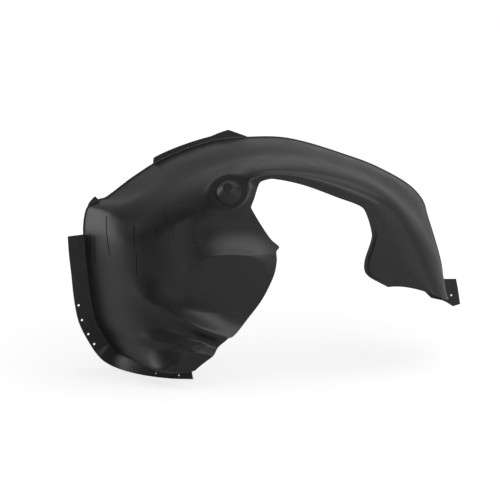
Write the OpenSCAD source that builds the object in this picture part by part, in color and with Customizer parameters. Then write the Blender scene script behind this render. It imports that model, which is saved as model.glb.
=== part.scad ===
/* [Arch] */
// Radius of the wheel arch, from the wheel axis to the fender-side edge
arch_r = 390; // [360:1:430]
// Width of the liner, from the fender flange to the body-side wall
liner_w = 250; // [220:1:290]
// Thickness of the moulded sheet
sheet_t = 2.5; // [2:0.1:3.5]
// How far the rear side stands behind the wheel axis
rear_reach = 346; // [325:1:370]
// Depth of the foot below the wheel axis
foot_drop = 36; // [20:1:60]
// Distance of the foot's inner end behind the wheel axis
foot_x = 205; // [185:1:225]

/* [Flanges] */
// Width of the rear fender flange
flange_w = 31; // [24:1:40]
// Width of the flange along the foot
foot_flange_w = 20; // [16:1:26]
// Width of the short top flange
top_flange_w = 11; // [6:1:18]
// Height of the clip peak at the end of the top flange
clip_peak = 6; // [0:1:10]
// Height of the locating ear above the rear flange
ear_w = 8; // [3:1:12]
// Width of the bare edge where the sheet has no flange
edge_w = 2; // [1:0.5:4]
// Width of the front tab outside the edge
tab_w = 36; // [26:1:44]
// Height of the front tab
tab_h = 58; // [44:1:70]
// How far the front tab reaches inside the edge
tab_inner_w = 52; // [30:1:70]
// How far the front tab is set in from the flange's plane
tab_back = 3; // [2:0.5:6]

/* [Body-side wall] */
// Width of the arch over the strut notch
top_band_w = 72; // [64:1:90]
// Distance of the strut notch's rear edge behind the wheel axis
notch_rear = 79; // [60:1:100]
// Distance of the strut notch's front edge ahead of the wheel axis
notch_front = 129; // [110:1:150]
// Reach of the rear wall's point, behind the wheel axis
wall_point_x = 41; // [25:1:60]
// Height of the rear wall's point above the wheel axis
wall_point_z = 193; // [175:1:205]
// Height of the front leg's lower edge above the wheel axis
leg_z = 105; // [90:1:120]
// Depth of the stiffening lip along the front leg's edge
lip_step = 4; // [2:0.5:6]
// Width of the stiffening lip along the front leg's edge
lip_w = 9; // [6:1:14]

/* [Relief of the rear wall] */
// Width of the upper bulge's face
bulge_w = 156; // [120:2:170]
// Height of the upper bulge's face
bulge_tall = 104; // [80:2:120]
// How far the upper bulge stands out
bulge_h = 15; // [6:1:24]
// How far the lower ridge stands out
low_ridge_h = 15; // [6:1:22]
// How far the foot rib stands out
foot_rib_h = 12; // [4:1:18]

/* [Fastening] */
// Diameter of the screw holes in the flanges
screw_d = 4.5; // [4:0.5:6]
// Distance of the screw holes from the flange's rim
hole_inset = 7; // [6:0.5:9]
// Diameter of the fastening cone at its base
cone_d = 50; // [40:1:56]
// Diameter of the fastening cone at its top
cone_top_d = 20; // [16:1:26]
// Height of the fastening cone above the wall
cone_h = 24; // [12:1:28]
// Diameter of the drill mark in the cone's top
dimple_d = 9; // [6:0.5:12]
// Distance of the cone's axis behind the wheel axis
cone_x = 134; // [120:1:150]
// Height of the cone's axis above the wheel axis
cone_z = 296; // [284:1:304]

/* [Hidden] */
$fn = 48;

// Steps along the arch, and rows across its flange, its shell and its lip
steps = 100;
flange_rows = 2;
shell_rows = 24;
lip_rows = 2;
rows = flange_rows + shell_rows + lip_rows + 1;
// Share of the rows that a millimetre of the barrel and of the wall takes, against one of the shoulder
barrel_share = 0.5;
wall_share = 1.6;

// Places that follow from the sizes above
foot_run = rear_reach - foot_x;
notch_top = arch_r - top_band_w;
leg_top = 0.7925 * notch_top;
front_x = 1.0385 * arch_r;
front_z = 0.295 * leg_z;
function polar(a, share) = [(1 + share) * arch_r * cos(a), 0, (1 + share) * arch_r * sin(a)];
// Point of the foot's edge: shares of the foot's run, of the liner's width and of the foot's depth
function foot(run, deep, drop) = [-foot_x - run * foot_run, -deep * liner_w, -drop * foot_drop];
// Point of the rear edge, by shares of the rear reach and of the arch's radius
function rear(back, up) = [-back * rear_reach, 0, up * arch_r];
// Heights up the notch's rear edge and up the leg's inner edge, by shares
function notch_z(share) = wall_point_z + share * (notch_top - wall_point_z);
function leg(share) = leg_z + share * (leg_top - leg_z);

// Fender-side edge: [way along, [x, y, z]], from 0 at the foot to 100 at the end of the front leg
outer_knots = [
    [0, foot(0, 0.928, 0.86)],
    [3, foot(0.22, 0.7, 1)],
    [5.5, foot(0.468, 0.38, 1.03)],
    [8, foot(0.624, 0.064, 0.83)],
    [11, foot(0.766, 0, 0.056)],
    [17, rear(0.962, 0.11)],
    [30, rear(0.997, 0.338)],
    [42, rear(1.009, 0.515)],
    [46.5, rear(1, 0.597)],
    [49.3, rear(0.977, 0.646)],
    [51.5, rear(0.919, 0.673)],
    [53.3, rear(0.876, 0.685)],
    [57, polar(128.8, 0.008)],
    [61, polar(118, -0.008)],
    [65, polar(104, -0.023)],
    [68, polar(95, -0.036)],
    [73, polar(79.6, -0.036)],
    [79, polar(58, -0.008)],
    [82, polar(48.7, 0.033)],
    [85, polar(39.9, 0.079)],
    [87, polar(34.2, 0.092)],
    [89, polar(29.8, 0.074)],
    [94, polar(18, 0.054)],
    [97.4, [0.988 * front_x, 0, front_z + 0.5 * leg_z]],
    [100, [0.993 * front_x, 0, front_z]]
];

// Body-side edge of the wall: [way along, [x, depth into the wall, z]]
inner_knots = [
    [0, [-0.82 * foot_x, 0, 0.01 * wall_point_z]],
    [8, [-0.732 * foot_x, 0, 0.114 * wall_point_z]],
    [10.5, [-0.702 * foot_x, 0, 0.155 * wall_point_z]],
    [13.5, [-0.644 * foot_x, 0, 0.176 * wall_point_z]],
    [17, [-0.546 * foot_x, 0, 0.264 * wall_point_z]],
    [22, [-0.38 * foot_x, 0, 0.477 * wall_point_z]],
    [28, [-1.317 * wall_point_x, 0, 0.725 * wall_point_z]],
    [33, [-1.146 * wall_point_x, 0, 0.876 * wall_point_z]],
    [36, [-1.146 * wall_point_x, 0, 0.959 * wall_point_z]],
    [38, [-wall_point_x, 0, wall_point_z]],
    [41, [-1.366 * wall_point_x, 0, notch_z(0.112)]],
    [46, [-0.962 * notch_rear, 0, notch_z(0.344)]],
    [50, [-1.177 * notch_rear, 0, notch_z(0.568)]],
    [51, [-1.19 * notch_rear, 0, notch_z(0.592)]],
    [54, [-1.127 * notch_rear, 0, notch_z(0.696)]],
    [59, [-notch_rear, 0, notch_z(0.936)]],
    [61.5, [-0.873 * notch_rear, 0, notch_z(0.984)]],
    [64, [-0.646 * notch_rear, 0, notch_top]],
    [71, [0.07 * notch_front, 0, 0.956 * notch_top]],
    [78, [0.605 * notch_front, 0, 0.874 * notch_top]],
    [82, [0.907 * notch_front, 0, 0.827 * notch_top]],
    [84, [notch_front, 0, leg_top]],
    [88, [1.116 * notch_front, 0, leg(0.707)]],
    [89.5, [1.109 * notch_front, 0, leg(0.62)]],
    [93, [1.008 * notch_front, 0, leg(0.34)]],
    [96, [1.054 * notch_front, 0, leg(0.177)]],
    [100, [1.364 * notch_front, 0, leg(0.014)]]
];

// How far the barrel leans inwards on its way to the wall, as a share of the liner's width
lean_knots = [
    [0, 0.004], [3.5, 0.024], [7, 0.08], [12, 0.24], [40, 0.296], [56, 0.28],
    [66, 0.16], [76, 0.136], [82, 0.248], [87, 0.384], [92, 0.408], [100, 0.448]
];
// Rounding of the shoulder, along the barrel and along the wall, as shares of the liner's width
barrel_round_knots = [
    [0, 0.032], [3.5, 0.096], [7, 0.24], [12, 0.48], [32, 0.64],
    [60, 0.76], [72, 0.76], [88, 0.68], [100, 0.28]
];
wall_round_knots = [
    [0, 0.032], [3.5, 0.08], [7, 0.2], [12, 0.52], [24, 0.88], [40, 0.92],
    [56, 0.76], [66, 0.4], [78, 0.32], [90, 0.36], [100, 0.16]
];
// Most that the lean and the rounding take of the way across
max_lean = 0.45;
max_barrel_round = 0.9;
max_wall_round = 0.88;
// Width of the flange: steps up and down where a flange starts and ends
flange_knots = [
    [0, 0.85 * foot_flange_w], [3, foot_flange_w], [5.5, 1.2 * foot_flange_w],
    [8.5, flange_w], [16, 1.03 * flange_w], [29, flange_w], [41, 1.03 * flange_w], [42, edge_w],
    [49, edge_w], [51, edge_w + ear_w], [52, edge_w], [60, edge_w], [61, top_flange_w],
    [65, 0.9 * top_flange_w], [67, top_flange_w + clip_peak], [69, edge_w], [100, edge_w]
];
// How far the last sections of the front leg bow upwards near their inner and their outer end, and the peak
// of the curves that shape both bows
bow_grow = [[0, 0], [95, 0], [100, 1]];
bow_inner = 0.028 * arch_r;
bow_outer = 0.023 * arch_r;
bow_peak = 27 / 256;
function bow_at(t) = (bow_inner * t * t * t * (1 - t) + bow_outer * t * pow(1 - t, 3)) / bow_peak;

// Smooth run through knots, and its straight-line twin
function find(k, u, i = 0) = i >= len(k) - 2 || u < k[i + 1][0] ? i : find(k, u, i + 1);
function slope(k, i) =
    i == 0 ? (k[1][1] - k[0][1]) / (k[1][0] - k[0][0])
    : i == len(k) - 1 ? (k[i][1] - k[i - 1][1]) / (k[i][0] - k[i - 1][0])
    : (k[i + 1][1] - k[i - 1][1]) / (k[i + 1][0] - k[i - 1][0]);
function smooth(k, u) =
    let (i = find(k, u), w = k[i + 1][0] - k[i][0], t = (u - k[i][0]) / w)
    k[i][1] * (2 * t * t * t - 3 * t * t + 1) + slope(k, i) * w * (t * t * t - 2 * t * t + t)
    + k[i + 1][1] * (3 * t * t - 2 * t * t * t) + slope(k, i + 1) * w * (t * t * t - t * t);
function linear(k, u) =
    let (i = find(k, u), t = (u - k[i][0]) / (k[i + 1][0] - k[i][0]))
    k[i][1] * (1 - t) + k[i + 1][1] * t;
function unit(v) = v / max(norm(v), 1e-9);
function ramp(t) = let (c = min(max(t, 0), 1)) c * c * (3 - 2 * c);

function outer(u) = let (p = smooth(outer_knots, u)) [p[0], min(p[1], 0), p[2]];
function inner(u) = let (p = smooth(inner_knots, u)) [p[0], p[1] - liner_w, p[2]];
// Outward direction of the flange, square to the edge's run as seen from the side
function outward(u) = let (d = outer(min(u + 0.5, 100)) - outer(max(u - 0.5, 0))) unit([-d[2], 0, d[0]]);

// Point at the share t of the way over the barrel, the rounded shoulder and the wall
function shell_point(o, from, k, to, edge, t) =
    let (
        barrel = norm(from - o) * barrel_share,
        shoulder = norm(k - from) + norm(to - k),
        wall = norm(edge - to) * wall_share,
        d = t * (barrel + shoulder + wall), r = (d - barrel) / shoulder
    )
    r < 0 ? o + (from - o) * d / barrel
    : r < 1 ? from * (1 - r) * (1 - r) + 2 * k * r * (1 - r) + to * r * r
    : to + (edge - to) * (d - barrel - shoulder) / wall;

// One section of the sheet, from the flange's rim to the trimmed edge of the wall
function section(u) =
    let (
        o = outer(u), i = inner(u), rim = outward(u) * linear(flange_knots, u),
        run = [i[0] - o[0], 0, i[2] - o[2]], way = unit(run), long = norm(run), deep = o[1] - i[1],
        lean = min(liner_w * smooth(lean_knots, u), max_lean * long),
        a = min(liner_w * linear(barrel_round_knots, u), max_barrel_round * deep),
        b = min(liner_w * linear(wall_round_knots, u), max_wall_round * (long - lean - lip_w)),
        k = o + way * lean + [0, -deep, 0], from = k + unit(o - k) * a, to = k + way * b,
        edge = i - way * lip_w,
        bow = linear(bow_grow, u) * [way[2], 0, -way[0]],
        bowed = function (p) p + bow * bow_at(min(max((p - o) * way / long, 0), 1))
    )
    concat(
        [for (j = [0:flange_rows - 1]) o + rim * (1 - j / flange_rows)],
        [for (j = [0:shell_rows]) bowed(shell_point(o, from, k, to, edge, j / shell_rows))],
        [for (j = [1:lip_rows]) bowed(edge + (i - edge) * j / lip_rows)]
    );
raw = [for (s = [0:steps]) section(100 * s / steps)];

// The shell's middle is evened out along the arch over this many steps, fading out towards its four edges
even_steps = 12;
even_start = 8;
even_fade = [16, 12];
even_in = 0.3;
even_out = 0.7;
function even_reach(s, j) =
    let (u = 100 * s / steps, t = (j - flange_rows) / shell_rows)
    even_steps * ramp((u - even_start) / even_fade[0]) * ramp((100 - u) / even_fade[1])
    * ramp(t / even_in) * ramp((1 - t) / even_out);
function evened(s, j) =
    let (reach = even_reach(s, j), n = floor(reach))
    n < 1 ? raw[s][j]
    : let (
        weights = [for (m = [-n:n]) 1 - abs(m) / reach],
        points = [for (m = [-n:n]) raw[min(max(s + m, 0), steps)][j]],
        total = weights * [for (w = weights) 1]
    )
    weights * points / total;
plain = [for (s = [0:steps]) [for (j = [0:rows - 1]) evened(s, j)]];

// Upper bulge: its middle, how far its foot runs out, and what its lower end keeps of its height
bulge_mid = [-0.405 * rear_reach, 0.333 * arch_r];
bulge_run = 0.149 * arch_r;
bulge_keep = 0.15;
// Lower ridge and foot rib: the crest's height over x, the reach above and below, and where they fade out
low_crest = [for (c = [
    [-0.983, 0.292], [-0.798, 0.244], [-0.653, 0.167], [-0.442, 0.085], [-0.318, 0.046], [-0.173, 0.01], [0.116, 0]
]) [c[0] * rear_reach, c[1] * arch_r]];
low_reach = [0.133, 0.056] * arch_r;
low_ends = [-0.925, 0.058, 0.173] * rear_reach;
foot_rib_crest = [for (c = [
    [-0.983, 0.026], [-0.861, 0.041], [-0.714, 0.051], [-0.546, 0.01], [-0.434, -0.015], [-0.289, -0.026]
]) [c[0] * rear_reach, c[1] * arch_r]];
foot_rib_reach = [0.056, 0.087] * arch_r;
foot_rib_ends = [-0.925, -0.376, 0.116] * rear_reach;
// Rounding of the crests, and the depth behind the flange where the relief starts and the way it grows over
crest_r = 2 * sheet_t;
relief_start = 0.08 * liner_w;
relief_grow = 0.64 * liner_w;

// Cross-section of a ridge: a tight crest, steepest close to it, and a soft foot
function hump(d, reach) =
    let (away = sqrt(d * d + crest_r * crest_r) - crest_r, t = max(1 - away / (d > 0 ? reach[0] : reach[1]), 0))
    t * t;
function span(x, ends) = ramp((x - ends[0]) / ends[2]) * ramp((ends[1] - x) / ends[2]);
function bulge(x, z) =
    let (
        half = [bulge_w, bulge_tall] / 2, d = [x, z] - bulge_mid,
        away = max(norm([d[0] / half[0], d[1] / half[1]]) - 1, 0) * half[1],
        high = min(max((d[1] + half[1]) / bulge_tall, 0), 1)
    )
    hump(away, [bulge_run, bulge_run]) * (bulge_keep + (1 - bulge_keep) * high);
function relief(x, z) =
    bulge_h * bulge(x, z)
    + low_ridge_h * hump(z - smooth(low_crest, x), low_reach) * span(x, low_ends)
    + foot_rib_h * hump(z - smooth(foot_rib_crest, x), foot_rib_reach) * span(x, foot_rib_ends);

// Direction towards the wheel, square to a grid at one of its points
function facing(g, s, j, j0, j1) =
    unit(cross(g[min(s + 1, steps)][j] - g[max(s - 1, 0)][j], g[s][j1] - g[s][j0]));

// Axis of the fastening cone: at the grid point nearest to the cone's x and z, square to the shell but
// lifted a little
cone_lift = 0.12;
reaches = [for (line = plain) for (p = line) norm([p[0] + cone_x, p[2] - cone_z])];
closest = min(reaches);
nearest = [for (n = [0:len(reaches) - 1]) if (reaches[n] == closest) n][0];
cone_s = floor(nearest / rows);
cone_j = nearest % rows;
cone_n = unit([0, 0, cone_lift] - facing(plain, cone_s, cone_j, cone_j - 1, cone_j + 1));
cone_p = plain[cone_s][cone_j];
cone_y = cone_p[1] - (cone_n[0] * (-cone_x - cone_p[0]) + cone_n[2] * (cone_z - cone_p[2])) / cone_n[1];
cone_seat = [-cone_x, cone_y, cone_z];
// The shell is flat around the cone, and that pad fades out over this distance
pad_margin = 0.14 * cone_d;
pad_fade = 0.36 * cone_d;
function seated(p) =
    let (d = p - cone_seat, high = d * cone_n, r = norm(d - high * cone_n))
    p - high * ramp((cone_d / 2 + pad_margin + pad_fade - r) / pad_fade) * cone_n;

// Lip along the front leg, and relief, pressed in along the wheel axis
lip_ends = [86, 110, 3];
function pressed(p, j, u) =
    let (
        lip = (j > flange_rows + shell_rows ? lip_step : 0) * span(u, lip_ends),
        bump = relief(p[0], p[2]) * ramp((-p[1] - relief_start) / relief_grow)
    )
    seated([p[0], p[1] + (j > flange_rows ? lip - bump : 0), p[2]]);
skin = [for (s = [0:steps]) [for (j = [0:rows - 1]) pressed(plain[s][j], j, 100 * s / steps)]];

// The sheet's other face, one thickness towards the wheel, measured square to the sheet
min_tilt = 0.6;
function pull(s, j) =
    let (
        last = max(j - 1, 0), next = min(j + 1, rows - 1),
        way = unit(facing(plain, s, j, last, max(j, 1)) + facing(plain, s, j, min(j, rows - 2), next)),
        tilt = way * facing(skin, s, j, min(j, rows - 2), next)
    )
    way * sheet_t / max(tilt, min_tilt);
back = [for (s = [0:steps]) [for (j = [0:rows - 1]) skin[s][j] + pull(s, j)]];

function at(s, j) = s * rows + j;
// The two triangles of a cell, split along its shorter diagonal
function halves(g, s, j) =
    let (a = at(s, j), b = at(s + 1, j), c = at(s + 1, j + 1), d = at(s, j + 1))
    norm(g[s][j] - g[s + 1][j + 1]) < norm(g[s + 1][j] - g[s][j + 1])
    ? [[a, b, c], [a, c, d]]
    : [[a, b, d], [b, c, d]];
count = (steps + 1) * rows;

module sheet() {
    cells = [for (s = [0:steps - 1]) for (j = [0:rows - 2]) [s, j]];
    rim = concat(
        [for (s = [0:steps - 1]) [at(s, 0), at(s + 1, 0)]],
        [for (j = [0:rows - 2]) [at(steps, j), at(steps, j + 1)]],
        [for (s = [steps:-1:1]) [at(s, rows - 1), at(s - 1, rows - 1)]],
        [for (j = [rows - 1:-1:1]) [at(0, j), at(0, j - 1)]]
    );
    polyhedron(
        points = concat([for (line = skin) for (p = line) p], [for (line = back) for (p = line) p]),
        faces = concat(
            [for (c = cells) for (t = halves(skin, c[0], c[1])) t],
            [for (c = cells) for (t = halves(back, c[0], c[1])) [t[0], t[2], t[1]] + [1, 1, 1] * count],
            [for (e = rim) [e[0], e[0] + count, e[1] + count]],
            [for (e = rim) [e[0], e[1] + count, e[1]]]
        )
    );
}

module along(n) rotate([0, acos(n[2]), atan2(n[1], n[0])]) children();
module at_cone(high) translate(cone_seat + cone_n * high) along(cone_n) children();

// Fastening cone, made smaller by a wall and run on below its seat
module cone_shape(wall, root) {
    grow = root * (cone_d - cone_top_d) / cone_h;
    at_cone(-root) cylinder(
        d1 = cone_d + grow - 2 * wall, d2 = cone_top_d - 2 * wall, h = cone_h + root - wall
    );
}
// Drill mark in the cone's top, half as deep as the sheet
module dimple() at_cone(cone_h) cylinder(d = dimple_d, h = sheet_t, center = true);

// Tab at the end of the front leg: a flat plate across the edge
tab_corner = [0.995 * front_x, -tab_back, front_z - 0.24 * tab_h];
tab_hole = tab_corner + [0.45 * tab_w, -sheet_t / 2, 0.4 * tab_h];
module front_tab() {
    outside = [[0, 1], [0.72, 0.98], [0.83, 0.68], [1, 0.07], [0.55, 0], [0.2, 0.14]];
    inside = [[0.1, 0.24], [0.55, 0.34], [1, 0.72], [0.8, 1]];
    translate(tab_corner) rotate([90, 0, 0]) linear_extrude(sheet_t) polygon(concat(
        [for (c = outside) [c[0] * tab_w, c[1] * tab_h]],
        [for (c = inside) [-c[0] * tab_inner_w, c[1] * tab_h]]
    ));
}

// Screw holes near the rim of the rear flange and of the foot, each given by its way along the edge
function on_flange(u) = outer(u) + outward(u) * (linear(flange_knots, u) - hole_inset);
rear_holes = [for (u = [10.6, 13, 16.3, 20]) on_flange(u)];
foot_holes_u = [1.7, 4, 6];
function foot_normal(u) = let (run = outer(u + 1) - outer(u - 1)) unit([run[1], -run[0], 0]);

bore_length = 10 * sheet_t;
module bore(p, n) translate(p) along(n) cylinder(d = screw_d, h = bore_length, center = true);

module arch_liner() {
    color([0.08, 0.08, 0.085]) difference() {
        union() {
            sheet();
            cone_shape(0, sheet_t / 2);
            front_tab();
        }
        cone_shape(sheet_t, 2 * sheet_t);
        dimple();
        for (p = rear_holes) bore(p, [0, 1, 0]);
        for (u = foot_holes_u) bore(on_flange(u), foot_normal(u));
        bore(tab_hole, [0, 1, 0]);
    }
}

arch_liner();
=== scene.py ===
import math
import bmesh
import bpy
import numpy as np
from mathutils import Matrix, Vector

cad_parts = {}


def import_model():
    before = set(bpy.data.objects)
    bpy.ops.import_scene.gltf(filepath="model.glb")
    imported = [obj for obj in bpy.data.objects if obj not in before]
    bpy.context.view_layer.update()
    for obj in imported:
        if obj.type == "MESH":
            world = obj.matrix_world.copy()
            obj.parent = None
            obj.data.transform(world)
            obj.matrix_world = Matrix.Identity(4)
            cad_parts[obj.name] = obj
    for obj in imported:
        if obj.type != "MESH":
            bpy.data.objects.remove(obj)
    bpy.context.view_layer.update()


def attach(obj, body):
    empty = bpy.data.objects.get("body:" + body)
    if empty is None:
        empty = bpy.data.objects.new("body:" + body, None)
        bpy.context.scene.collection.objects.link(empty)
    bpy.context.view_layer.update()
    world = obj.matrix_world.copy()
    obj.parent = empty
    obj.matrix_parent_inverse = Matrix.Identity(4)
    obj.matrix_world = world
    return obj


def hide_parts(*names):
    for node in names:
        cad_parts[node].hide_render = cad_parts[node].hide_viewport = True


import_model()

MM = 0.001

# Sizes of the liner in millimetres, as the CAD part has them
ARCH_R = 390
LINER_W = 250
SHEET_T = 2.5
REAR_REACH = 346
FOOT_DROP = 36
FOOT_X = 205
FLANGE_W = 31
FOOT_FLANGE_W = 20
TOP_FLANGE_W = 11
CLIP_PEAK = 6
EAR_W = 8
TAB_W = 36
TAB_H = 58
TAB_INNER_W = 52
NOTCH_REAR = 79
NOTCH_TOP = 318
NOTCH_FRONT = 129
WALL_POINT_X = 41
WALL_POINT_Z = 193
LEG_Z = 105
LIP_STEP = 4
LIP_W = 9
BULGE_H = 15
LOW_BULGE_H = 15
FOOT_RIB_H = 12
SCREW_D = 4.5
CONE_D = 50
CONE_TOP_D = 20
CONE_H = 24
CONE_LIFT = 0.12
CONE_X = 134
CONE_Z = 296
DIMPLE_D = 9
DIMPLE_H = 1.2
HOLE_INSET = 7
EDGE_W = 2
TAB_BACK = 3
# Places of the screw holes: ways along the arch, and shares of the tab's width and height
REAR_HOLES_U = (10.6, 13, 16.3, 20)
FOOT_HOLES_U = (1.7, 4, 6)
TAB_HOLE = (0.45, 0.4)
DRILL_LENGTH = 24
# End of the front leg
FRONT_X = ARCH_R + 15
FRONT_Z = LEG_Z - 74

# Fineness of the visual sheet: steps along the arch, and rows across its parts
STEPS = 300
STEP_U = 100 / STEPS
FLANGE_ROWS = 4
CORNER_ROWS = 4
SHELL_ROWS = 82
LIP_ROWS = 8
FIRST_SHELL_ROW = FLANGE_ROWS + CORNER_ROWS
# Rounding between flange and barrel, and points around a turned solid and around a drill
CORNER_R = 2.2
AROUND = 96
DRILL_AROUND = 40
# Fine steps up the cone's flank: their heights, how far they stand out and in, and the rounding of the edges
CONE_STEPS = (5, 10, 15)
STEP_OUT = 0.5
STEP_IN = 0.5
STEP_R = 0.8
TOP_R = 1.2


def polar(angle, extra):
    a = math.radians(angle)
    return ((ARCH_R + extra) * math.cos(a), 0, (ARCH_R + extra) * math.sin(a))


# Fender-side edge and body-side edge: way along the arch from 0 to 100, and the place there
OUTER = [
    (0, (-FOOT_X, 18 - LINER_W, 5 - FOOT_DROP)),
    (3, (-FOOT_X - 31, 75 - LINER_W, -FOOT_DROP)),
    (5.5, (-FOOT_X - 66, 155 - LINER_W, -FOOT_DROP - 1)),
    (8, (-FOOT_X - 88, -16, 6 - FOOT_DROP)),
    (11, (33 - REAR_REACH, 0, 34 - FOOT_DROP)),
    (17, (13 - REAR_REACH, 0, 43)),
    (30, (1 - REAR_REACH, 0, 132)),
    (42, (-3 - REAR_REACH, 0, 201)),
    (46.5, (-REAR_REACH, 0, 233)),
    (49.3, (8 - REAR_REACH, 0, 252)),
    (51.5, (28 - REAR_REACH, 0, 262.5)),
    (53.3, (43 - REAR_REACH, 0, 267)),
    (57, polar(128.8, 3)),
    (61, polar(118, -3)),
    (65, polar(104, -9)),
    (68, polar(95, -14)),
    (73, polar(79.6, -14)),
    (79, polar(58, -3)),
    (82, polar(48.7, 13)),
    (85, polar(39.9, 31)),
    (87, polar(34.2, 36)),
    (89, polar(29.8, 29)),
    (94, polar(18, 21)),
    (97.4, (FRONT_X - 5, 0, FRONT_Z + 52)),
    (100, (FRONT_X - 3, 0, FRONT_Z)),
]
INNER = [
    (0, (-168, 0, 2)),
    (8, (-150, 0, 22)),
    (10.5, (-144, 0, 30)),
    (13.5, (-132, 0, 34)),
    (17, (-112, 0, 51)),
    (22, (-78, 0, 92)),
    (28, (-13 - WALL_POINT_X, 0, WALL_POINT_Z - 53)),
    (33, (-6 - WALL_POINT_X, 0, WALL_POINT_Z - 24)),
    (36, (-6 - WALL_POINT_X, 0, WALL_POINT_Z - 8)),
    (38, (-WALL_POINT_X, 0, WALL_POINT_Z)),
    (41, (-15 - WALL_POINT_X, 0, WALL_POINT_Z + 14)),
    (46, (3 - NOTCH_REAR, 0, 236)),
    (50, (-14 - NOTCH_REAR, 0, 264)),
    (51, (-15 - NOTCH_REAR, 0, 267)),
    (54, (-10 - NOTCH_REAR, 0, 280)),
    (59, (-NOTCH_REAR, 0, NOTCH_TOP - 8)),
    (61.5, (10 - NOTCH_REAR, 0, NOTCH_TOP - 2)),
    (64, (28 - NOTCH_REAR, 0, NOTCH_TOP)),
    (71, (9, 0, NOTCH_TOP - 14)),
    (78, (NOTCH_FRONT - 51, 0, NOTCH_TOP - 40)),
    (82, (NOTCH_FRONT - 12, 0, NOTCH_TOP - 55)),
    (84, (NOTCH_FRONT, 0, NOTCH_TOP - 66)),
    (88, (NOTCH_FRONT + 15, 0, LEG_Z + 104)),
    (89.5, (NOTCH_FRONT + 14, 0, LEG_Z + 91)),
    (93, (NOTCH_FRONT + 1, 0, LEG_Z + 50)),
    (96, (NOTCH_FRONT + 7, 0, LEG_Z + 26)),
    (100, (NOTCH_FRONT + 47, 0, LEG_Z + 2)),
]
# How far the barrel leans inwards, and its rounding into the wall, along the barrel and along the wall
LEAN = [
    (0, 1), (3.5, 6), (7, 20), (12, 60), (40, 74), (56, 70),
    (66, 40), (76, 34), (82, 62), (87, 96), (92, 102), (100, 112),
]
BARREL_ROUND = [
    (0, 8), (3.5, 24), (7, 60), (12, 120), (32, 160), (60, 190), (72, 190), (88, 170), (100, 70),
]
WALL_ROUND = [
    (0, 8), (3.5, 20), (7, 50), (12, 130), (24, 220), (40, 230),
    (56, 190), (66, 100), (78, 80), (90, 90), (100, 40),
]
# The shell's middle is evened out over this way along the arch, fading out towards its four edges
EVEN_W = 12
EVEN_START = 8
EVEN_FADE = (16, 12)
EVEN_IN = 0.3
EVEN_OUT = 0.7
# Width of the flange, which starts and ends in a single step along the arch
FLANGE = [
    (0, FOOT_FLANGE_W - 3), (3, FOOT_FLANGE_W - 0.4), (5.5, FOOT_FLANGE_W + 3.6),
    (8.5, FLANGE_W), (16, FLANGE_W + 1), (29, FLANGE_W), (41, FLANGE_W + 1), (41 + STEP_U, EDGE_W),
    (49, EDGE_W), (51, EDGE_W + EAR_W), (51 + STEP_U, EDGE_W),
    (60 - 2 * STEP_U, EDGE_W), (60 - STEP_U, TOP_FLANGE_W), (65, TOP_FLANGE_W - 1),
    (67 - STEP_U, TOP_FLANGE_W + CLIP_PEAK), (69 - STEP_U, EDGE_W), (100, EDGE_W),
]
# How the last sections of the front leg bow upwards near their inner and their outer end
BOW_GROW = [(0, 0), (95, 0), (100, 1)]
BOW_INNER = 11
BOW_OUTER = 9
BOW_PEAK = 27 / 256
# Share of the rows that a millimetre of the barrel and of the wall takes, and the most that the lean and the
# rounding take of the way across
BARREL_SHARE = 0.5
WALL_SHARE = 1.6
MAX_LEAN = 0.45
MAX_BARREL_ROUND = 0.9
MAX_WALL_ROUND = 0.88

# Relief of the rear wall: the bulge's middle and half sizes, then each crest's height over x, its reach
# above and below, and where it fades out
CREST_R = 5
BULGE_X = -140
BULGE_Z = 130
BULGE_HALF_W = 78
BULGE_HALF_H = 52
BULGE_EDGE = 58
BULGE_FOOT = 0.15
LOW_CREST = [(-340, 114), (-276, 95), (-226, 65), (-153, 33), (-110, 18), (-60, 4), (40, 0)]
LOW_REACH = (52, 22)
LOW_ENDS = (-320, 20, 60)
FOOT_RIB_CREST = [(-340, 10), (-298, 16), (-247, 20), (-189, 4), (-150, -6), (-100, -10)]
FOOT_RIB_REACH = (22, 34)
FOOT_RIB_ENDS = (-320, -130, 40)
RELIEF_START = 20
RELIEF_GROW = 160
# Where the lip along the front leg starts and ends and how fast it grows, and how steep its step is
LIP_ENDS = (86, 99, 3)
LIP_STEEP = 2.2
# A thin raised plate in the rear wall, in x and in z
PLATE_H = 0.9
PLATE_X = (-234, -189, 4)
PLATE_Z = (198, 273, 5)
# Flat seat around the cone, and the least tilt that the sheet's thickness allows for
PAD_MARGIN = 7
PAD_FADE = 18
MIN_TILT = 0.6


def smooth(knots, u):
    """Smooth run through the knots at each place in the array u."""
    k = np.array([n[0] for n in knots], float)
    v = np.array([n[1] for n in knots], float)
    flat = v.ndim == 1
    v = v.reshape(len(k), -1)
    slope = np.empty_like(v)
    slope[1:-1] = (v[2:] - v[:-2]) / (k[2:] - k[:-2])[:, None]
    slope[0] = (v[1] - v[0]) / (k[1] - k[0])
    slope[-1] = (v[-1] - v[-2]) / (k[-1] - k[-2])
    u = np.asarray(u, float)
    i = np.clip(np.searchsorted(k, u, side="right") - 1, 0, len(k) - 2)
    w = (k[i + 1] - k[i])[..., None]
    t = (u - k[i])[..., None] / w
    out = (
        v[i] * (2 * t**3 - 3 * t**2 + 1) + slope[i] * w * (t**3 - 2 * t**2 + t)
        + v[i + 1] * (3 * t**2 - 2 * t**3) + slope[i + 1] * w * (t**3 - t**2)
    )
    return out[..., 0] if flat else out


def linear(knots, u):
    return np.interp(u, [n[0] for n in knots], [n[1] for n in knots])


def ramp(t):
    c = np.clip(t, 0, 1)
    return c * c * (3 - 2 * c)


def length(v):
    return np.linalg.norm(v, axis=-1, keepdims=True)


def unit(v):
    return v / np.maximum(length(v), 1e-9)


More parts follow.
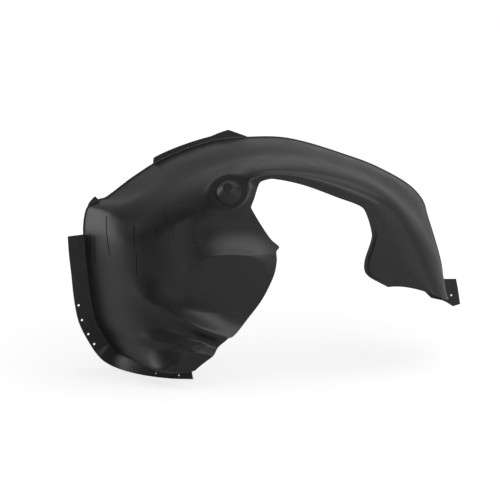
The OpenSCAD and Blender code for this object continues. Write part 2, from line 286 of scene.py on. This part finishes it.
def hump(d, reach):
    """Cross-section of a ridge: a tight crest, steepest close to it, and a soft foot."""
    away = np.sqrt(d * d + CREST_R * CREST_R) - CREST_R
    t = np.maximum(1 - away / np.where(d > 0, reach[0], reach[1]), 0)
    return t * t


def span(x, ends):
    return ramp((x - ends[0]) / ends[2]) * ramp((ends[1] - x) / ends[2])


def bulge(x, z):
    """1 at the top of the bulge's face, less towards its foot, falling to 0 around it."""
    ring = np.hypot((x - BULGE_X) / BULGE_HALF_W, (z - BULGE_Z) / BULGE_HALF_H)
    away = np.maximum(ring - 1, 0) * BULGE_HALF_H
    high = np.clip((z - BULGE_Z + BULGE_HALF_H) / (2 * BULGE_HALF_H), 0, 1)
    return hump(away, (BULGE_EDGE, BULGE_EDGE)) * (BULGE_FOOT + (1 - BULGE_FOOT) * high)


def relief(x, z):
    """How far the rear wall's relief stands out at each x and z."""
    return (
        BULGE_H * bulge(x, z)
        + LOW_BULGE_H * hump(z - smooth(LOW_CREST, x), LOW_REACH) * span(x, LOW_ENDS)
        + FOOT_RIB_H * hump(z - smooth(FOOT_RIB_CREST, x), FOOT_RIB_REACH) * span(x, FOOT_RIB_ENDS)
        + PLATE_H * span(x, PLATE_X) * span(z, PLATE_Z)
    )


def outer(u):
    p = smooth(OUTER, u)
    return np.stack([p[..., 0], np.minimum(p[..., 1], 0), p[..., 2]], -1)


def outward(u):
    """Direction of the flange, square to the edge's run as seen from the side."""
    d = outer(np.minimum(u + 0.5, 100)) - outer(np.maximum(u - 0.5, 0))
    return unit(np.stack([-d[..., 2], 0 * d[..., 0], d[..., 0]], -1))


def sections(u):
    """The sheet's section at each place u along the arch, from the flange's rim to the wall's edge."""
    o = outer(u)
    i = smooth(INNER, u) - np.array([0, LINER_W, 0])
    flange = linear(FLANGE, u)[:, None]
    out = outward(u)
    run = (i - o) * np.array([1, 0, 1])
    long = length(run)
    way = run / long
    deep = (o[:, 1] - i[:, 1])[:, None]
    lean = np.minimum(smooth(LEAN, u)[:, None], MAX_LEAN * long)
    a = np.minimum(linear(BARREL_ROUND, u)[:, None], MAX_BARREL_ROUND * deep)
    b = np.minimum(linear(WALL_ROUND, u)[:, None], MAX_WALL_ROUND * (long - lean - LIP_W))
    k = o + way * lean + deep * np.array([0, -1, 0])
    side = unit(o - k)
    start = k + side * a
    end = k + way * b
    edge = i - way * LIP_W
    corner = np.minimum(CORNER_R, 0.5 * flange)
    rim, first = o + out * corner, o - side * corner

    barrel = length(start - first) * BARREL_SHARE
    shoulder = length(k - start) + length(end - k)
    wall = length(edge - end) * WALL_SHARE

    def on_shell(t):
        d = t * (barrel + shoulder + wall)
        r = (d - barrel) / shoulder
        on_barrel = first + (start - first) * d / barrel
        on_shoulder = start * (1 - r) ** 2 + 2 * k * r * (1 - r) + end * r * r
        on_wall = end + (edge - end) * (d - barrel - shoulder) / wall
        return np.where(r < 0, on_barrel, np.where(r < 1, on_shoulder, on_wall))

    bow = linear(BOW_GROW, u)[:, None] / BOW_PEAK * np.stack([way[:, 2], 0 * way[:, 0], -way[:, 0]], -1)

    def bowed(p):
        t = np.clip(((p - o) * way).sum(1, keepdims=True) / long, 0, 1)
        return p + bow * (BOW_INNER * t**3 * (1 - t) + BOW_OUTER * t * (1 - t) ** 3)

    rows = [o + out * (flange + (corner - flange) * j / FLANGE_ROWS) for j in range(FLANGE_ROWS)]
    for j in range(CORNER_ROWS):
        t = j / CORNER_ROWS
        rows.append(rim * (1 - t) ** 2 + 2 * o * t * (1 - t) + first * t * t)
    rows += [bowed(on_shell(j / SHELL_ROWS)) for j in range(SHELL_ROWS + 1)]
    rows += [bowed(edge + (i - edge) * j / LIP_ROWS) for j in range(1, LIP_ROWS + 1)]
    return np.stack(rows, 1)


def evened(grid, u):
    """The shell's middle with its run along the arch evened out; its two edges keep their corners."""
    across = (np.arange(grid.shape[1]) - FIRST_SHELL_ROW) / SHELL_ROWS
    along = ramp((u - EVEN_START) / EVEN_FADE[0]) * ramp((100 - u) / EVEN_FADE[1])
    reach = EVEN_W * along[:, None] * (ramp(across / EVEN_IN) * ramp((1 - across) / EVEN_OUT))[None, :]
    step = u[1] - u[0]
    total, weights = grid.copy(), np.ones_like(reach)
    for m in range(1, int(EVEN_W / step) + 1):
        w = np.maximum(1 - m * step / np.maximum(reach, 1e-6), 0)
        for shift in (m, -m):
            place = np.clip(np.arange(len(u)) + shift, 0, len(u) - 1)
            total += w[..., None] * grid[place]
            weights += w
    return total / weights[..., None]


def facing(grid, forward):
    """Unit directions towards the wheel, square to the grid, from the next row or from the last one."""
    du = np.gradient(grid, axis=0)
    dv = np.diff(grid, axis=1)
    dv = np.concatenate([dv, dv[:, -1:]] if forward else [dv[:, :1], dv], 1)
    return unit(np.cross(du, dv))


def cone_axis(plain):
    """Seat and direction of the fastening cone: square to the shell at the cone's x and z."""
    away = np.hypot(plain[..., 0] + CONE_X, plain[..., 2] - CONE_Z)
    s, j = np.unravel_index(np.argmin(away), away.shape)
    n = -facing(plain, True)[s, j]
    n = unit(n + np.array([0, 0, CONE_LIFT]))
    p = plain[s, j]
    y = p[1] - (n[0] * (-CONE_X - p[0]) + n[2] * (CONE_Z - p[2])) / n[1]
    return np.array([-CONE_X, y, CONE_Z]), n


def pressed(plain, u):
    """The grid with its relief, its lip and the cone's flat seat."""
    rows = np.arange(plain.shape[1])
    on_shell = (rows > FIRST_SHELL_ROW)[None, :]
    across = (rows - FIRST_SHELL_ROW - SHELL_ROWS) / LIP_ROWS
    lip = LIP_STEP * ramp(LIP_STEEP * across)[None, :] * span(u, LIP_ENDS)[:, None]
    bump = relief(plain[..., 0], plain[..., 2]) * ramp((-plain[..., 1] - RELIEF_START) / RELIEF_GROW)
    grid = plain.copy()
    grid[..., 1] += (lip - bump) * on_shell
    d = grid - cone_seat
    high = d @ cone_n
    r = np.linalg.norm(d - high[..., None] * cone_n, axis=-1)
    fade = ramp((CONE_D / 2 + PAD_MARGIN + PAD_FADE - r) / PAD_FADE)
    return grid - (high * fade)[..., None] * cone_n


def backed(plain, skin):
    """The sheet's other face, one thickness towards the wheel."""
    way = unit(facing(plain, True) + facing(plain, False))
    tilt = (way * facing(skin, True)).sum(-1, keepdims=True)
    return skin + way * SHEET_T / np.maximum(tilt, MIN_TILT)


def grid_faces(high, wide, start, flip):
    n = np.arange(high * wide).reshape(high, wide) + start
    a, b, c, d = n[:-1, :-1], n[1:, :-1], n[1:, 1:], n[:-1, 1:]
    order = (a, d, c, b) if flip else (a, b, c, d)
    return np.stack(order, -1).reshape(-1, 4).tolist()


def new_object(name, verts, faces):
    mesh = bpy.data.meshes.new(name)
    mesh.from_pydata((np.asarray(verts) * MM).tolist(), [], faces)
    mesh.update()
    obj = bpy.data.objects.new(name, mesh)
    bpy.context.scene.collection.objects.link(obj)
    return obj


def shell_object(skin, back):
    """The closed sheet: its two faces and the rim between them."""
    high, wide = skin.shape[:2]
    count = high * wide
    n = np.arange(count).reshape(high, wide)
    loop = np.concatenate([n[:-1, 0], n[-1, :-1], n[:0:-1, -1], n[0, :0:-1]])
    after = np.roll(loop, -1)
    rim = np.stack([loop, loop + count, after + count, after], -1).tolist()
    verts = np.concatenate([skin.reshape(-1, 3), back.reshape(-1, 3)])
    faces = grid_faces(high, wide, 0, False) + grid_faces(high, wide, count, True) + rim
    return new_object("liner_shell", verts, faces)


def basis(n):
    """Two unit vectors square to n."""
    n = unit(np.asarray(n, float))
    side = unit(np.cross(n, (0, 1, 0) if abs(n[1]) < 0.9 else (1, 0, 0)))
    return side, np.cross(n, side)


def lathe(name, profile, origin, axis, around=AROUND):
    """A closed turned solid: profile is a list of (radius, height) from the axis and back to it."""
    side, up = basis(axis)
    turn = np.arange(around) * 2 * math.pi / around
    ring = np.cos(turn)[:, None] * side + np.sin(turn)[:, None] * up
    ends = [[origin + axis * profile[k][1]] for k in (0, -1)]
    verts = np.concatenate([origin + ring * r + axis * h for r, h in profile[1:-1]] + ends)
    faces = []
    rings = len(profile) - 2
    bottom, top = rings * around, rings * around + 1
    for k in range(around):
        m = (k + 1) % around
        faces.append((bottom, m, k))
        for j in range(rings - 1):
            faces.append((j * around + k, j * around + m, (j + 1) * around + m, (j + 1) * around + k))
        last = (rings - 1) * around
        faces.append((top, last + k, last + m))
    return new_object(name, verts, faces)


def drill(name, origin, axis, d, long):
    r, half = d / 2, long / 2
    profile = [(0, -half), (r, -half), (r, half), (0, half)]
    return lathe(name, profile, np.asarray(origin, float), unit(np.asarray(axis, float)), DRILL_AROUND)


def combine(target, tool, how):
    """Joins tool to target, or cuts it away, and removes the tool."""
    mod = target.modifiers.new(tool.name, "BOOLEAN")
    mod.operation = how
    mod.solver = "MANIFOLD"
    mod.object = tool
    with bpy.context.temp_override(object=target, active_object=target):
        bpy.ops.object.modifier_apply(modifier=mod.name)
    bpy.data.objects.remove(tool)


CONE_SLANT = (CONE_D - CONE_TOP_D) / 2 / CONE_H


def cone_inside():
    """Profile of the cone's hollow: one wall smaller than the cone, and run on below its seat."""
    below = 2 * SHEET_T
    foot, top = CONE_D / 2 + CONE_SLANT * below - SHEET_T, CONE_H - SHEET_T
    return [(0, -below), (foot, -below), (CONE_TOP_D / 2 - SHEET_T, top), (0, top)]


def cone_outside():
    """Profile of the cone: ring steps up its flank, and rounded edges at each step and at the top."""
    below = SHEET_T / 2
    shape = [(0, -below), (CONE_D / 2 + CONE_SLANT * below, -below)]
    for h in CONE_STEPS:
        r = CONE_D / 2 - CONE_SLANT * h
        shape += [
            (r + STEP_OUT, h - STEP_R), (r + STEP_OUT - STEP_R / 2, h), (r - STEP_IN, h + STEP_R / 2),
        ]
    r = CONE_TOP_D / 2
    shape += [
        (r + CONE_SLANT * TOP_R, CONE_H - TOP_R), (r - TOP_R / 4, CONE_H - TOP_R / 4),
        (r - TOP_R, CONE_H), (0, CONE_H),
    ]
    return shape


def front_tab():
    """The flat tab at the front leg's end, outlined in shares of its width and height, and its corner."""
    outside = [(0, 1), (0.72, 0.98), (0.83, 0.68), (1, 0.07), (0.55, 0), (0.2, 0.14)]
    inside = [(0.1, 0.24), (0.55, 0.34), (1, 0.72), (0.8, 1)]
    shape = [(x * TAB_W, z * TAB_H) for x, z in outside]
    shape += [(-x * TAB_INNER_W, z * TAB_H) for x, z in inside]
    corner = np.array([FRONT_X - 2, -TAB_BACK, FRONT_Z - 14])
    n = len(shape)
    near = [corner + (x, -SHEET_T, z) for x, z in shape]
    far = [corner + (x, 0, z) for x, z in shape]
    faces = [tuple(range(n)), tuple(range(2 * n - 1, n - 1, -1))]
    faces += [(k, k + n, (k + 1) % n + n, (k + 1) % n) for k in range(n)]
    return new_object("front_tab", near + far, faces), corner


def on_flange(u):
    """Place of a screw hole in the flange at each place u."""
    return outer(u) + outward(u) * (linear(FLANGE, u) - HOLE_INSET)[:, None]


def flange_holes():
    """Place and direction of each hole: the rear ones run along y, the foot's square to its edge."""
    for p in on_flange(np.array(REAR_HOLES_U, float)):
        yield p, (0, 1, 0)
    u = np.array(FOOT_HOLES_U, float)
    run = outer(u + 1) - outer(u - 1)
    for p, r in zip(on_flange(u), run):
        yield p, (r[1], -r[0], 0)


# Fine moulded ribs: the side from which each is seen, its width and height, and the places it runs through;
# how finely they follow the shell, how deep they root in it, and from how far off they are laid on it
WALL_SIDE, BARREL_SIDE = (0, -1, 0), (-0.94, -0.34, 0)
RIBS = [
    (WALL_SIDE, 3, 1.8, [(-211, -235, 181), (-207, -239, 153)]),
    (WALL_SIDE, 3, 1.8, [(-190, -244, 187), (-186, -249, 171)]),
    (WALL_SIDE, 3, 1.8, [(-203, -241, 163), (-184, -248, 163)]),
    (WALL_SIDE, 3, 1.8, [(-203, -239, 147), (-188, -245, 147)]),
    (WALL_SIDE, 1.8, 0.9, [(-240, -191, 263), (-242, -208, 239)]),
    (WALL_SIDE, 1.8, 0.9, [(-240, -216, 222), (-240, -219, 196)]),
    (WALL_SIDE, 1.8, 0.9, [(-257, -189, 232), (-258, -192, 218)]),
    (WALL_SIDE, 1.8, 0.9, [(-248, -201, 234), (-249, -204, 219)]),
    (BARREL_SIDE, 2.2, 0.6, [(-288, -146, 229), (-291, -156, 193)]),
    (BARREL_SIDE, 2.2, 0.6, [(-288, -161, 178), (-289, -162, 140)]),
    (BARREL_SIDE, 2.2, 0.4, [(-319, -71, 240), (-320, -90, 167)]),
    (BARREL_SIDE, 2.2, 0.4, [(-338, -38, 198), (-337, -36, 172), (-336, -35, 146)]),
]
RIB_STEP = 4
RIB_ROOT = 0.8
RIB_REACH = 60


def rib(shell, side, width, height, places):
    """A thin raised strip lying on the shell: its corners and faces."""
    side = Vector(side)
    route = []
    for a, b in zip(places[:-1], places[1:]):
        a, b = Vector(a), Vector(b)
        n = max(2, round((b - a).length / RIB_STEP))
        route += [a.lerp(b, k / n) for k in range(n)]
    route.append(Vector(places[-1]))
    on, out = [], []
    for place in route:
        hit, where, normal, _ = shell.ray_cast((place + side * RIB_REACH) * MM, -side)
        if hit:
            on.append(where / MM)
            out.append(normal)
    verts, faces = [], []
    for k, (p, n) in enumerate(zip(on, out)):
        run = on[min(k + 1, len(on) - 1)] - on[max(k - 1, 0)]
        across = run.cross(n).normalized()
        verts += [p - across * width / 2 - n * RIB_ROOT, p + across * width / 2 - n * RIB_ROOT]
        verts += [p + across * width / 4 + n * height, p - across * width / 4 + n * height]
    for k in range(len(on) - 1):
        for c in range(4):
            d = (c + 1) % 4
            faces.append((4 * k + c, 4 * k + d, 4 * k + 4 + d, 4 * k + 4 + c))
    last = 4 * (len(on) - 1)
    faces += [(3, 2, 1, 0), (last, last + 1, last + 2, last + 3)]
    return verts, faces


def add_ribs(shell):
    """All ribs as one object, joined to the shell."""
    verts, faces = [], []
    for side, width, height, places in RIBS:
        v, f = rib(shell, side, width, height, places)
        faces += [tuple(c + len(verts) for c in face) for face in f]
        verts += v
    strips = new_object("ribs", verts, faces)
    bm = bmesh.new()
    bm.from_mesh(strips.data)
    bmesh.ops.recalc_face_normals(bm, faces=bm.faces)
    bm.to_mesh(strips.data)
    bm.free()
    combine(shell, strips, "UNION")


def soften(obj, angle):
    """Smooth shading, with edges sharper than angle left crisp."""
    bm = bmesh.new()
    bm.from_mesh(obj.data)
    limit = math.radians(angle)
    for f in bm.faces:
        f.smooth = True
    for e in bm.edges:
        e.smooth = len(e.link_faces) == 2 and e.calc_face_angle(0) < limit
    bm.to_mesh(obj.data)
    bm.free()


def noise(nodes, links, place, scale, detail):
    node = nodes.new("ShaderNodeTexNoise")
    node.inputs["Scale"].default_value = scale
    node.inputs["Detail"].default_value = detail
    links.new(place, node.inputs["Vector"])
    return node.outputs["Fac"]


def ranged(nodes, links, value, low, high):
    """A noise value's middle part spread over a range."""
    node = nodes.new("ShaderNodeMapRange")
    node.inputs["From Min"].default_value = 0.3
    node.inputs["From Max"].default_value = 0.7
    node.inputs["To Min"].default_value = low
    node.inputs["To Max"].default_value = high
    links.new(value, node.inputs["Value"])
    return node.outputs["Result"]


def bump(nodes, links, height, distance, strength, before=None):
    node = nodes.new("ShaderNodeBump")
    node.inputs["Distance"].default_value = distance
    node.inputs["Strength"].default_value = strength
    links.new(height, node.inputs["Height"])
    if before:
        links.new(before, node.inputs["Normal"])
    return node.outputs["Normal"]


def liner_plastic():
    """Black moulded plastic: a satin skin with a fine grain, slight waves and duller patches."""
    mat = bpy.data.materials.new("liner_plastic")
    mat.use_nodes = True
    nodes, links = mat.node_tree.nodes, mat.node_tree.links
    shader = nodes["Principled BSDF"]
    place = nodes.new("ShaderNodeTexCoord").outputs["Object"]
    patches = noise(nodes, links, place, 9, 4)
    tone = nodes.new("ShaderNodeMix")
    tone.data_type = "RGBA"
    tone.inputs["A"].default_value = (0.013, 0.013, 0.014, 1)
    tone.inputs["B"].default_value = (0.022, 0.022, 0.0225, 1)
    links.new(ranged(nodes, links, patches, 0, 1), tone.inputs["Factor"])
    links.new(tone.outputs["Result"], shader.inputs["Base Color"])
    rough = noise(nodes, links, place, 26, 5)
    links.new(ranged(nodes, links, rough, 0.27, 0.36), shader.inputs["Roughness"])
    waves = bump(nodes, links, noise(nodes, links, place, 38, 2), 0.0012, 0.16)
    grain = bump(nodes, links, noise(nodes, links, place, 900, 3), 0.0002, 0.25, waves)
    links.new(grain, shader.inputs["Normal"])
    return mat


# Edges sharper than this are left crisp
CRISP_ANGLE = 32

stations = np.linspace(0, 100, STEPS + 1)
plain = evened(sections(stations), stations)
cone_seat, cone_n = cone_axis(plain)
skin = pressed(plain, stations)
liner = shell_object(skin, backed(plain, skin))

bpy.context.view_layer.update()
add_ribs(liner)
combine(liner, lathe("cone", cone_outside(), cone_seat, cone_n), "UNION")
tab, tab_corner = front_tab()
combine(liner, tab, "UNION")
combine(liner, lathe("cone_inside", cone_inside(), cone_seat, cone_n), "DIFFERENCE")
dimple_at = cone_seat + cone_n * CONE_H
combine(liner, drill("dimple", dimple_at, cone_n, DIMPLE_D, 2 * DIMPLE_H), "DIFFERENCE")
for place, direction in flange_holes():
    combine(liner, drill("hole", place, direction, SCREW_D, DRILL_LENGTH), "DIFFERENCE")
tab_hole = tab_corner + (TAB_HOLE[0] * TAB_W, -SHEET_T / 2, TAB_HOLE[1] * TAB_H)
combine(liner, drill("hole", tab_hole, (0, 1, 0), SCREW_D, DRILL_LENGTH), "DIFFERENCE")
soften(liner, CRISP_ANGLE)

liner.data.materials.clear()
liner.data.materials.append(liner_plastic())
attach(liner, "root")
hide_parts("arch_liner")

# The photograph's view: direction to the camera, its distance, and the size of a pixel at the target
CAM_AZIMUTH = -18
CAM_ELEVATION = 8
CAM_DISTANCE = 3.3
CAM_TARGET = Vector((-0.056, -0.125, 0.171))
PIXEL = 0.0019
PICTURE = 500

# The lamps' common aim and distance
LIT_CENTRE = Vector((0, -0.12, 0.15))
LAMP_DISTANCE = 3
# The room's light: the side towards which it gets brighter, over which range, and its two levels
ROOM_TOWARDS = (0.5, 0.35, 0.8)
ROOM_FROM = (-0.5, 0.9)
ROOM_DIM = 0.12
ROOM_BRIGHT = 0.36
# The floor's height, just under the foot, and what the camera sees of it: plain white, less of it near the
# object than far off, and a share that takes light and shadow
FLOOR_Z = -0.0622
FLOOR_WHITE = 0.76
FLOOR_WHITE_FAR = 0.9
FLOOR_NEAR = 0.45
FLOOR_FAR = 1.6
FLOOR_SHADED = 0.45


def direction(azimuth, elevation):
    """Unit vector from the object: azimuth 0 faces its body side, and larger ones turn to the right."""
    a, e = math.radians(azimuth), math.radians(elevation)
    return Vector((math.sin(a) * math.cos(e), -math.cos(a) * math.cos(e), math.sin(e)))


def camera():
    back = direction(CAM_AZIMUTH, CAM_ELEVATION)
    data = bpy.data.cameras.new("camera")
    data.sensor_width = 36
    data.lens = data.sensor_width * CAM_DISTANCE / PIXEL / PICTURE
    cam = bpy.data.objects.new("camera", data)
    cam.location = CAM_TARGET + back * CAM_DISTANCE
    cam.rotation_euler = (-back).to_track_quat("-Z", "Y").to_euler()
    bpy.context.scene.collection.objects.link(cam)
    bpy.context.scene.camera = cam


def softbox(name, azimuth, elevation, size, watts):
    away = direction(azimuth, elevation)
    data = bpy.data.lights.new(name, "AREA")
    data.shape = "RECTANGLE"
    data.size, data.size_y = size
    data.energy = watts
    lamp = bpy.data.objects.new(name, data)
    lamp.location = LIT_CENTRE + away * LAMP_DISTANCE
    lamp.rotation_euler = (-away).to_track_quat("-Z", "Y").to_euler()
    bpy.context.scene.collection.objects.link(lamp)


def world():
    """White for the camera; for the object a room that is dim at the left, brighter above and behind."""
    w = bpy.data.worlds.new("studio")
    bpy.context.scene.world = w
    w.use_nodes = True
    nodes, links = w.node_tree.nodes, w.node_tree.links
    nodes.clear()
    out = nodes.new("ShaderNodeOutputWorld")
    mix = nodes.new("ShaderNodeMixShader")
    path = nodes.new("ShaderNodeLightPath")
    room = nodes.new("ShaderNodeBackground")
    white = nodes.new("ShaderNodeBackground")
    for node in (room, white):
        node.inputs["Color"].default_value = (1, 1, 1, 1)
    towards = nodes.new("ShaderNodeVectorMath")
    towards.operation = "DOT_PRODUCT"
    towards.inputs[1].default_value = ROOM_TOWARDS
    links.new(nodes.new("ShaderNodeTexCoord").outputs["Generated"], towards.inputs[0])
    level = nodes.new("ShaderNodeMapRange")
    level.interpolation_type = "SMOOTHSTEP"
    level.inputs["From Min"].default_value = ROOM_FROM[0]
    level.inputs["From Max"].default_value = ROOM_FROM[1]
    level.inputs["To Min"].default_value = ROOM_DIM
    level.inputs["To Max"].default_value = ROOM_BRIGHT
    links.new(towards.outputs["Value"], level.inputs["Value"])
    links.new(level.outputs["Result"], room.inputs["Strength"])
    links.new(path.outputs["Is Camera Ray"], mix.inputs[0])
    links.new(room.outputs[0], mix.inputs[1])
    links.new(white.outputs[0], mix.inputs[2])
    links.new(mix.outputs[0], out.inputs["Surface"])


def floor(z):
    """A white floor that still shows the object's shadow."""
    bpy.ops.mesh.primitive_plane_add(size=60, location=(0, 0, z))
    plane = bpy.context.object
    plane.name = "floor"
    mat = bpy.data.materials.new("floor")
    mat.use_nodes = True
    nodes, links = mat.node_tree.nodes, mat.node_tree.links
    shader = nodes["Principled BSDF"]
    shader.inputs["Base Color"].default_value = (0.8, 0.8, 0.8, 1)
    shader.inputs["Roughness"].default_value = 0.9
    shader.inputs["Specular IOR Level"].default_value = 0
    path = nodes.new("ShaderNodeLightPath")
    shaded = nodes.new("ShaderNodeBsdfDiffuse")
    shaded.inputs["Color"].default_value = (FLOOR_SHADED, FLOOR_SHADED, FLOOR_SHADED, 1)
    white = nodes.new("ShaderNodeEmission")
    place = nodes.new("ShaderNodeNewGeometry")
    away = nodes.new("ShaderNodeVectorMath")
    away.operation = "LENGTH"
    links.new(place.outputs["Position"], away.inputs[0])
    level = nodes.new("ShaderNodeMapRange")
    level.inputs["From Min"].default_value = FLOOR_NEAR
    level.inputs["From Max"].default_value = FLOOR_FAR
    level.inputs["To Min"].default_value = FLOOR_WHITE
    level.inputs["To Max"].default_value = FLOOR_WHITE_FAR
    links.new(away.outputs["Value"], level.inputs["Value"])
    links.new(level.outputs["Result"], white.inputs["Strength"])
    both = nodes.new("ShaderNodeAddShader")
    mix = nodes.new("ShaderNodeMixShader")
    links.new(shaded.outputs[0], both.inputs[0])
    links.new(white.outputs[0], both.inputs[1])
    links.new(path.outputs["Is Camera Ray"], mix.inputs[0])
    links.new(shader.outputs[0], mix.inputs[1])
    links.new(both.outputs[0], mix.inputs[2])
    links.new(mix.outputs[0], nodes["Material Output"].inputs["Surface"])
    plane.data.materials.append(mat)


camera()
world()
floor(FLOOR_Z)
softbox("front_strip", 14, 26, (3.4, 0.9), 24)
softbox("left_back", -128, 8, (1.8, 1.8), 14)
softbox("left", -52, 0, (1.2, 1.8), 4)
softbox("right", 48, -2, (3.0, 2.4), 10)
softbox("right_high", 70, 62, (2.6, 2.6), 18)
bpy.context.scene.view_settings.view_transform = "Standard"
